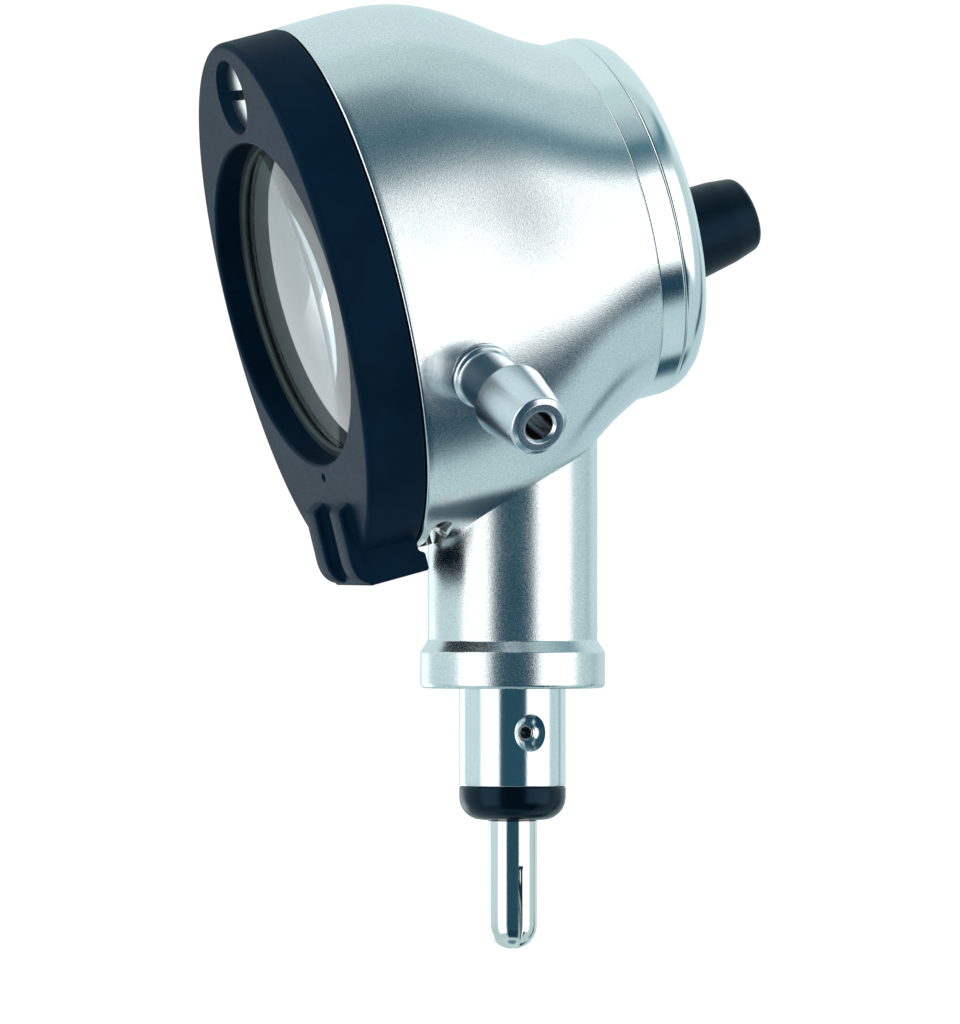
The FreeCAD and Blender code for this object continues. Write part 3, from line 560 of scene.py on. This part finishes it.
def make_pin():
    """The round-ended contact pin with the slit that lets its two legs spring."""
    wall = [(2.0, -18 + step, 0) for step in range(7)]
    shape = lathe([(0, -21.3, 0), (2.0, -21.3, 1.96)] + wall + [
        (2.0, -10.77, 0.1), (1.6, -10.77, 0), (1.6, 10.6, 0.3), (0, 10.6, 0)], closed=False)
    slit = slab((-0.2, -3, -22.5), (0.2, 3, -14.45))
    make_piece("pin", shape, UPRIGHT, NICKEL, "head", "contact_pin",
               cuts=[(slit, UPRIGHT)])


# the housing's outer form along the head's axis, from the rim to the collar
KNOTS = [5.45, 10.5, 15.0, 19.5, 24.0, 27.0]
HALF_HEIGHTS = [21.85, 21.95, 21.45, 19.5, 16.5, 15.0]
HALF_WIDTHS = [14.3, 14.4, 14.55, 14.8, 14.95, 15.0]
WALL = 1.2


def housing_sections():
    """The rounded rim, the outer form to the collar, and the inner form back again."""
    tall = spline(KNOTS, HALF_HEIGHTS)
    wide = spline(KNOTS, HALF_WIDTHS)
    edge = 0.25
    inner_edge = 0.15
    outer = [(KNOTS[0] - edge + advance, HALF_HEIGHTS[0] - inset, HALF_WIDTHS[0] - inset)
             for inset, advance in quarter(edge)]
    length = KNOTS[-1] - KNOTS[0]
    places = [KNOTS[0] + length * (step + 1) / HOUSING_RINGS for step in range(HOUSING_RINGS)]
    outer += [(at, tall(at), wide(at)) for at in places]
    inner = [(at, tall(at) - WALL, wide(at) - WALL) for at in places[::-1]]
    inner += [(KNOTS[0] - edge + advance, HALF_HEIGHTS[0] - WALL + inset,
               HALF_WIDTHS[0] - WALL + inset) for inset, advance in quarter(inner_edge)[::-1]]
    return outer + inner


def window_cutter():
    """The long hole with round ends in the lower rim, made along the head's x axis."""
    half, radius, middle = 5.9, 0.95, 7.05
    inside, outside = 19, 24
    turns = [math.pi * step / END_STEPS - math.pi / 2 for step in range(END_STEPS + 1)]
    right = [(half - radius + radius * math.cos(t), middle + radius * math.sin(t))
             for t in turns]
    outline = right + [(-y, 2 * middle - z) for y, z in right]
    return between([(inside, y, z) for y, z in outline], [(outside, y, z) for y, z in outline])


def make_housing():
    """The shell, cut through for the neck, the port and the window."""
    cuts = [(rod(6.95, 0, 21.6), UPRIGHT), (rod(2.37, -4, 3), PORT), (window_cutter(), HEAD)]
    thing = make_piece("housing_shell", loft(housing_sections()), HEAD, SATIN, "head",
                       "housing", cuts=cuts)
    plate_inside(thing)


def plate_inside(thing):
    """Give the faces that look towards the shell's axis the matt inner plating."""
    thing.data.materials.append(INSIDE)
    back = HEAD.inverted()
    turn = back.to_3x3()
    for face in thing.data.polygons:
        spot = back @ face.center
        facing = turn @ face.normal
        if spot.x * facing.x + spot.y * facing.y < 0 and abs(facing.z) < 0.9:
            face.material_index = 1


def frame_sections():
    """The black oval plate with its round opening, edges rounded."""
    tall, wide, depth = 21.8, 14.25, 5.1
    front, rear = 0.5, 0.2
    outer = [(advance, tall - inset, wide - inset) for inset, advance in quarter(front)]
    outer += [(depth - advance, tall - inset, wide - inset)
              for inset, advance in quarter(rear)[::-1]]
    lip, opening, shelf, edge = 12.6, 13.4, 3.9, 0.3
    inner = [(depth - advance, lip + inset, lip + inset) for inset, advance in quarter(rear)]
    inner += [(shelf, lip, lip), (shelf, opening, opening)]
    inner += [(advance, opening + inset, opening + inset)
              for inset, advance in quarter(edge)[::-1]]
    return outer + inner


def make_lens_frame():
    """The black plate with its hook, two thumb ribs, pivot holes and gate mark."""
    tab = prism([(17.5, 0.2), (23.6, 0.2), (23.6, 5.5), (22.1, 5.5), (21.9, 5.0), (17.5, 5.0)],
                4.3, 0.24)
    rib = [(16.3, 0.4), (17.1, -0.95), (21.6, -0.95), (22.4, -0.78), (23.0, -0.4),
           (23.42, 0.2), (23.58, 1.05), (23.58, 2.0), (17.0, 2.0)]
    joins = [(tab, HEAD)]
    joins += [(prism(rib, 1.3, 0.28), HEAD @ shifted(0, side, 0)) for side in (-3.0, 3.0)]
    cuts = [(rod(3.12, -1, 2.6), PIVOT), (rod(1.95, -1, 6), PIVOT),
            (peg(0.4, -1, 0.35), HEAD @ shifted(14.45, 0.13, 0))]
    make_piece("lens_holder", loft(frame_sections()), HEAD, BLACK, "lens_carrier",
               "lens_frame", joins, cuts)


def make_ring():
    """The ring between the housing and the cap."""
    shape = lathe([
        (11.8, 25.4, 0.1), (13.5, 25.4, 0), (13.5, 27.02, 0), (15.0, 27.02, 0.14),
        (15.0, 29.19, 0.16), (13.0, 29.19, 0), (13.0, 30.3, 0), (11.8, 30.3, 0.1)])
    make_piece("ring", shape, HEAD, BRIGHT, "head", "front_ring")


def make_cap():
    """The round-edged front cap with the seat of the nose."""
    shape = lathe([
        (0, 30.95, 0), (13.0, 30.95, 0), (13.0, 29.21, 0), (15.0, 29.21, 0.16),
        (15.0, 31.85, 2.4), (8.0, 31.85, 0), (0, 31.85, 0)], closed=False)
    make_piece("cap", shape, HEAD, BRIGHT, "head", "front_cap",
               cuts=[(rod(4.17, -3, 3), NOSE)])


def make_nose():
    """The cone that specula are pushed onto, with its base inside the cap."""
    shape = lathe([
        (3.0, -2.7, 0), (6.2, -2.7, 0.1), (6.2, -1.7, 0.1), (4.13, -1.7, 0), (4.13, 0, 0.3),
        (3.49, 6.85, 2.5), (3.03, 9.2, 0.75), (2.2, 9.2, 0.15), (2.2, 3.0, 0.3)])
    make_piece("nose", shape, NOSE, GLOSS_BLACK, "head", "nose_cone")


def make_port():
    """The barbed nipple with its root ring and bore."""
    shape = lathe([
        (1.15, -2.6, 0), (2.35, -2.6, 0), (2.35, 0, 0), (2.7, 0, 0.1), (2.7, 0.5, 0.25),
        (2.35, 0.75, 0.2), (2.35, 4.8, 0.15), (3.15, 5.6, 0.25), (2.45, 11.1, 0.25),
        (2.0, 11.4, 0.1), (1.4, 11.4, 0.08), (1.15, 11.15, 0.1)])
    make_piece("port", shape, PORT, PORT_CHROME, "head", "insufflation_port")


def make_retainer():
    """The thin ring that keeps the lens in."""
    shape = lathe([
        (12.85, 2.1, 0.05), (13.4, 2.1, 0), (13.4, 2.5, 0), (12.65, 2.5, 0.03),
        (12.65, 2.3, 0.08)])
    make_piece("retainer", shape, HEAD, GREY, "lens_carrier", "lens_retainer")


def make_lens():
    """Two convex faces between thin ground edges, each face in many rings."""
    radius, sag, start, rim = 13.3, 1.07, 2.65, 1.0
    ball = (radius ** 2 + sag ** 2) / (2 * sag)
    radii = [radius * step / LENS_RINGS for step in range(LENS_RINGS + 1)]
    rises = [math.sqrt(ball ** 2 - r ** 2) - (ball - sag) for r in radii]
    front = [(r, start - rise, 0) for r, rise in zip(radii, rises)]
    back = [(r, start + rim + rise, 0) for r, rise in zip(radii, rises)]
    shape = lathe(front + back[::-1], closed=False)
    make_piece("lens", shape, HEAD, LENS, "lens_carrier", "magnifier_lens")


def make_screw():
    """The slotted pivot screw."""
    shape = lathe([
        (0, 0.9, 0), (3.02, 0.9, 0.14), (3.02, 2.3, 0), (1.9, 2.3, 0), (1.9, 5.3, 0.1),
        (1.5, 5.3, 0), (1.5, 9.6, 0.2), (0, 9.6, 0)], closed=False)
    slot = slab((-0.425, -4, 0), (0.425, 4, 1.65))
    make_piece("screw", shape, PIVOT, STEEL, "head", "pivot_screw",
               cuts=[(slot, PIVOT)])


# ---------------------------------------------------------------- studio

FLOOR_DROP = 30 * MM
FLOOR_SIZE = 1.0


def make_floor():
    """A plain pale table top below the object."""
    level = cad_low.z - FLOOR_DROP
    mesh = bpy.data.meshes.new("floor")
    half = FLOOR_SIZE / 2
    corners = [(-half, -half, level), (half, -half, level), (half, half, level),
               (-half, half, level)]
    mesh.from_pydata(corners, [], [(0, 1, 2, 3)])
    floor = bpy.data.objects.new("floor", mesh)
    bpy.context.scene.collection.objects.link(floor)
    material, tree, shader = new_tree("floor_paint")
    cloud = noise(tree, 0.3)
    tree.links.new(tint(tree, cloud, (0.86, 0.88, 0.88), (0.82, 0.84, 0.85)),
                   shader.inputs["Base Color"])
    shader.inputs["Roughness"].default_value = 0.8
    bump(tree, shader, noise(tree, 1 * MM), 0.02 * MM)
    dress(floor, material)
    floor.visible_glossy = False


def window(tree, value, centre, half, soft):
    """1 where a value is within half of a centre, falling off smoothly over a soft edge."""
    away = calc(tree, "ABSOLUTE", calc(tree, "SUBTRACT", value, centre))
    inputs = {"Value": away, "From Min": half - soft, "From Max": half + soft, "To Min": 1.0,
              "To Max": 0.0}
    node = add(tree, "MapRange", inputs, interpolation_type="SMOOTHSTEP")
    return node.outputs["Result"]


# colours of the surroundings by elevation in degrees
SKY = [(-90, (0.10, 0.26, 0.34)), (-80, (0.12, 0.29, 0.37)), (-69, (0.62, 0.79, 0.81)),
       (-50, (0.52, 0.70, 0.73)), (-15, (0.52, 0.70, 0.74)), (28, (0.56, 0.74, 0.76)),
       (36, (0.24, 0.36, 0.41)), (40, (0.10, 0.24, 0.30)), (45, (0.12, 0.27, 0.33)),
       (54, (0.52, 0.68, 0.71)), (75, (0.57, 0.73, 0.75)), (90, (0.60, 0.78, 0.80))]
# softboxes and dark flags: azimuth, elevation, half width, half height, edge, colour
BOXES = [(-19, 5, 32, 60, 7, (0.02, 0.08, 0.12)),
         (0, -44, 50, 18, 6, (0.01, 0.05, 0.09)),
         (128, -54, 14, 14, 6, (0.02, 0.08, 0.12)),
         (104, -5, 5, 30, 4, (0.01, 0.05, 0.08)),
         (-162, -10, 14, 14, 5, (2.1, 2.25, 2.3)),
         (180, 45, 85, 48, 15, (0.70, 0.87, 0.90)),
         (39, 1, 27, 26, 5, (1.6, 1.65, 1.65)),
         (-71, 5, 21, 40, 5, (1.6, 1.65, 1.65))]


def make_world():
    """Surroundings by direction: a banded sky with soft boxes and dark flags in it."""
    world = bpy.data.worlds.new("studio")
    world.use_nodes = True
    bpy.context.scene.world = world
    tree = world.node_tree
    tree.nodes.clear()
    way = add(tree, "TexCoord").outputs["Generated"]
    parts = add(tree, "SeparateXYZ", {"Vector": way})
    behind = calc(tree, "MULTIPLY", parts.outputs["Y"], -1.0)
    azimuth = calc(tree, "DEGREES", calc(tree, "ARCTAN2", parts.outputs["X"], behind))
    elevation = calc(tree, "DEGREES", calc(tree, "ARCSINE", parts.outputs["Z"]))
    ramp = add(tree, "ValToRGB", {"Fac": spread(tree, elevation, 0.0, 1.0, -90, 90)})
    stops = ramp.color_ramp.elements
    stops.remove(stops[1])
    stops[0].color = (*SKY[0][1], 1)
    for height, colour in SKY[1:]:
        stops.new((height + 90) / 180).color = (*colour, 1)
    light = ramp.outputs["Color"]
    for turn, rise, wide, tall, soft, colour in BOXES:
        across = calc(tree, "WRAP", calc(tree, "SUBTRACT", azimuth, turn), 180.0, -180.0)
        mask = calc(tree, "MULTIPLY", window(tree, across, 0.0, wide, soft),
                    window(tree, elevation, rise, tall, soft))
        light = tint(tree, mask, light, colour)
    around = add(tree, "Background", {"Color": light, "Strength": 1.0})
    plain = add(tree, "Background", {"Color": (1, 1, 1, 1), "Strength": 1.05})
    rays = add(tree, "LightPath")
    mix = add(tree, "MixShader", {0: rays.outputs["Is Camera Ray"], 1: around.outputs[0],
                                  2: plain.outputs[0]})
    output = add(tree, "OutputWorld")
    tree.links.new(mix.outputs[0], output.inputs["Surface"])


CAMERA_AZIMUTH = math.radians(-20.1)
CAMERA_DISTANCE = 1.0
SENSOR = 36.0
VIEW_HEIGHT = 83.592 * MM
LOOK_ACROSS = -2.653 * MM       # the picture's middle, from the plug's axis
LOOK_UP = 14.367 * MM           # the picture's middle, above the plug's seat


def make_camera():
    """A long lens, level with the object and a little to its left."""
    away = Vector((math.sin(CAMERA_AZIMUTH), -math.cos(CAMERA_AZIMUTH), 0))
    right = Vector((math.cos(CAMERA_AZIMUTH), math.sin(CAMERA_AZIMUTH), 0))
    target = right * LOOK_ACROSS + Vector((0, 0, LOOK_UP))
    data = bpy.data.cameras.new("camera")
    data.sensor_width = SENSOR
    data.lens = SENSOR * CAMERA_DISTANCE / VIEW_HEIGHT
    camera = bpy.data.objects.new("camera", data)
    camera.location = target + away * CAMERA_DISTANCE
    camera.rotation_mode = "QUATERNION"
    camera.rotation_quaternion = away.to_track_quat("Z", "Y")
    bpy.context.scene.collection.objects.link(camera)
    bpy.context.scene.camera = camera


dress_nodes()
make_housing()
make_lens_frame()
make_neck()
make_barrel()
make_tip()
make_pin()
make_ring()
make_cap()
make_nose()
make_port()
make_retainer()
make_lens()
make_screw()
make_floor()
make_world()
make_camera()
bpy.context.scene.view_settings.view_transform = "Standard"
